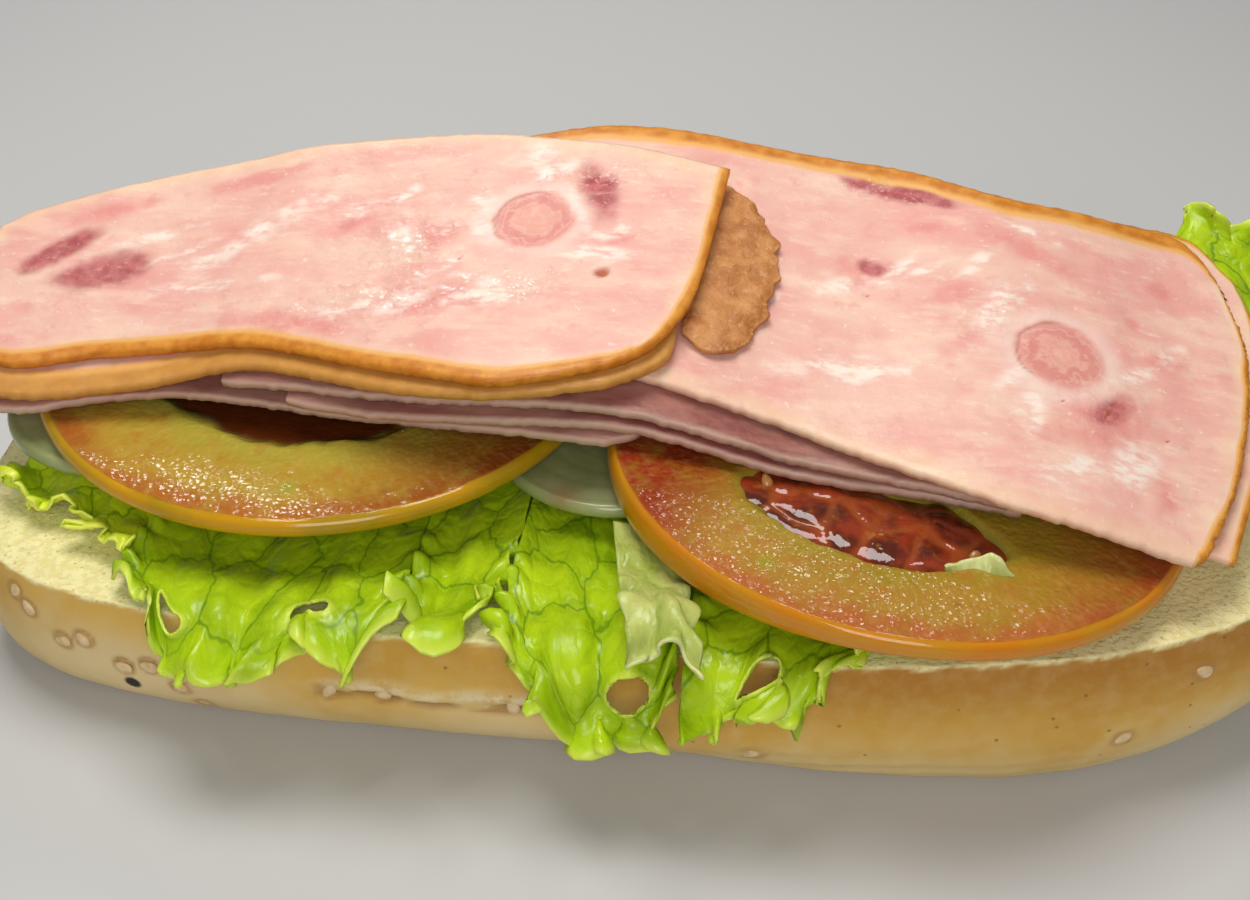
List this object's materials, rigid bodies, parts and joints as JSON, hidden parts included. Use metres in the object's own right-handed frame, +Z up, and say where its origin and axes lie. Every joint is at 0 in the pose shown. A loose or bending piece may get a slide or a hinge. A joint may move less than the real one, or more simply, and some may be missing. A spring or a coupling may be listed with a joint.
{
  "type": "ham sandwich",
  "caption": "Open sandwich on the bottom half of a long sesame roll, with leaf lettuce, onion, tomato slices and folded layers of sliced cooked ham.",
  "frame": {"origin": "on the flat underside of the bread, below the roll's middle", "axes": "+X along the roll to the right as seen from the front, +Y to the back, +Z up, away from the surface it lies on"},
  "size_m": [0.197, 0.0982, 0.0595],
  "materials": {
    "bread": "baked crust, golden tan, with a pale open crumb on the cut side",
    "lettuce": "fresh leaf, bright yellow-green, slightly glossy",
    "pale_lettuce": "fresh leaf, pale green",
    "onion": "moist and translucent",
    "tomato_amber": "wet cut flesh, amber",
    "tomato_red": "wet cut flesh, orange-red",
    "ham": "moist cooked meat, pink",
    "ham_rind": "crumbly browned edge"
  },
  "bodies": {
    "root": {"bread_base": "bread", "lettuce_back_left": "lettuce", "lettuce_back_right": "lettuce", "lettuce_far_left": "lettuce", "lettuce_left": "lettuce", "lettuce_left_ruffle": "lettuce", "lettuce_middle": "lettuce", "lettuce_right": "lettuce", "lettuce_pale": "pale_lettuce", "onion_left": "onion", "onion_middle": "onion", "tomato_left": "tomato_amber", "tomato_right": "tomato_red", "ham_low_1": "ham", "ham_low_2": "ham", "ham_low_3": "ham", "ham_right_under": "ham", "ham_right_top": "ham", "ham_left_under": "ham", "ham_left_top": "ham", "ham_rind_scrap": "ham_rind"}
  },
  "joints": []
}
